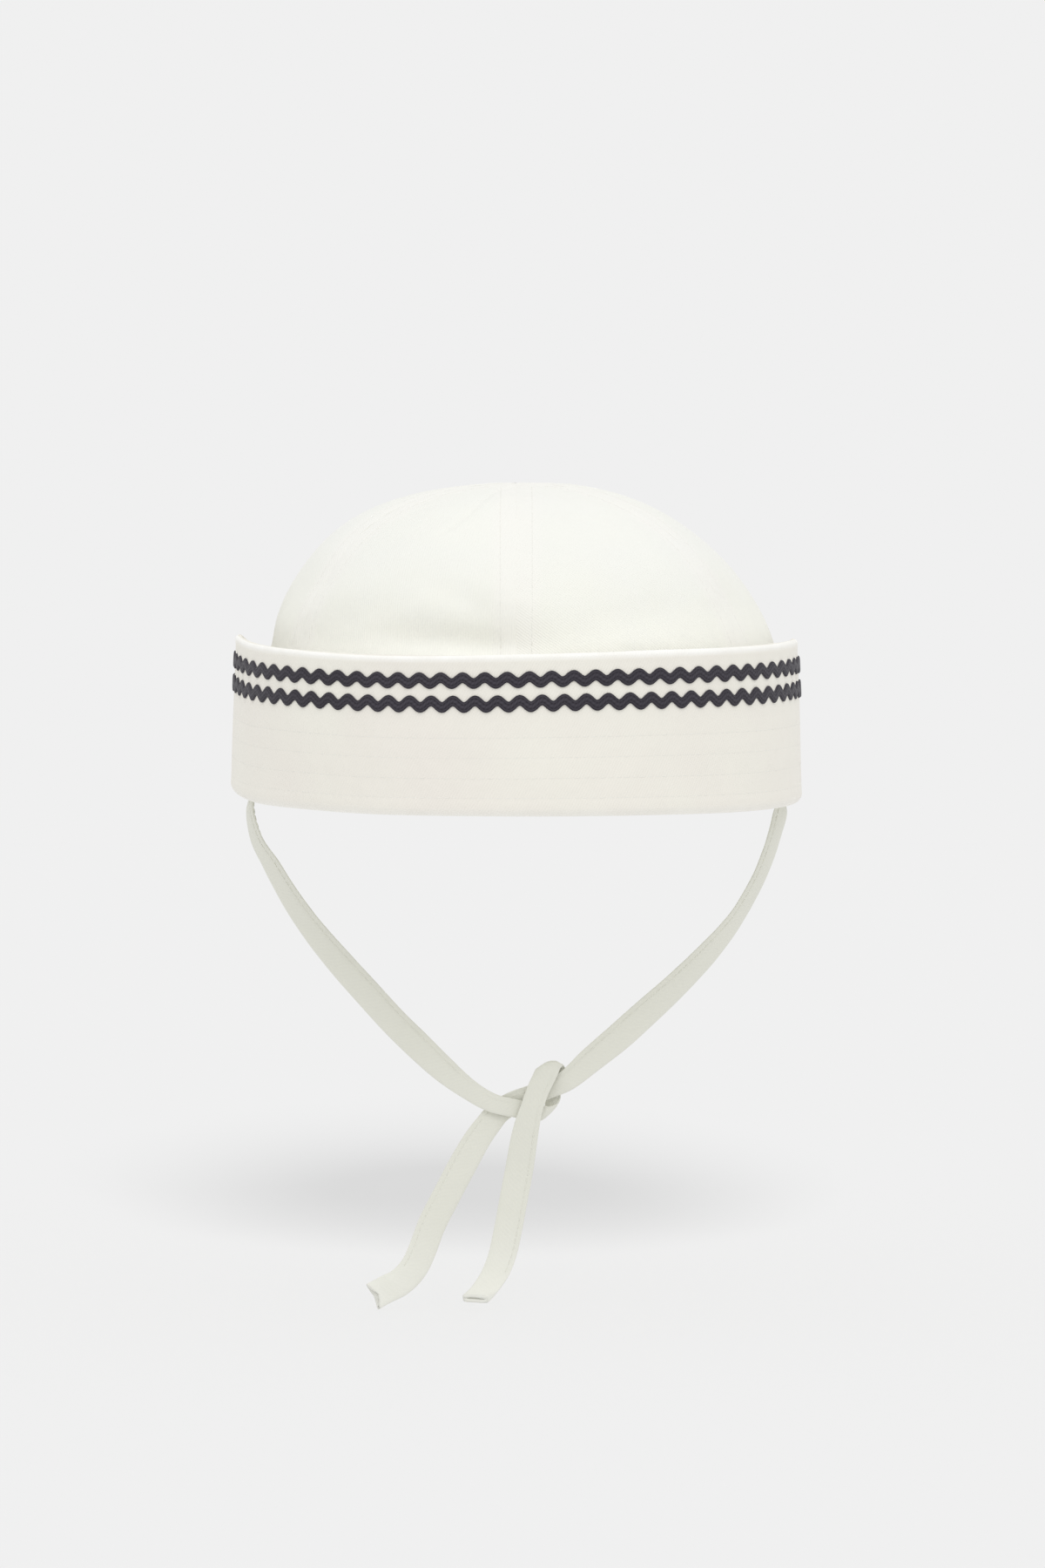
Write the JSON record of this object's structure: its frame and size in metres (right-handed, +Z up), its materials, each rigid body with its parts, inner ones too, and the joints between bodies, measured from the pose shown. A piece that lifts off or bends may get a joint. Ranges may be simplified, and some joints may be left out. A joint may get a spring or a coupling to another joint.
{
  "type": "sailor cap",
  "caption": "Child's cloth sailor cap: domed sewn crown, turned-up brim with zigzag braid, and flat chin ties crossed in a half knot below.",
  "frame": {"origin": "centre of the head opening, in the plane of the rim where the brim folds, at mount head_seat", "axes": "+Z up, the front of the cap faces -Y, +X to the right of a viewer who stands in front of it"},
  "size_m": [0.164, 0.18, 0.2336],
  "materials": {
    "crown_twill": "matt off-white cotton twill",
    "brim_twill": "matt warm off-white cotton twill",
    "navy_braid": "matt navy woven braid",
    "tie_twill": "matt off-white cotton twill"
  },
  "bodies": {
    "root": {"crown_panel_front_right": "crown_twill", "crown_panel_side_right": "crown_twill", "crown_panel_back_right": "crown_twill", "crown_panel_back_left": "crown_twill", "crown_panel_side_left": "crown_twill", "crown_panel_front_left": "crown_twill", "brim": "brim_twill", "ricrack_upper": "navy_braid", "ricrack_lower": "navy_braid", "tie_left": "tie_twill", "tie_right": "tie_twill"}
  },
  "joints": []
}
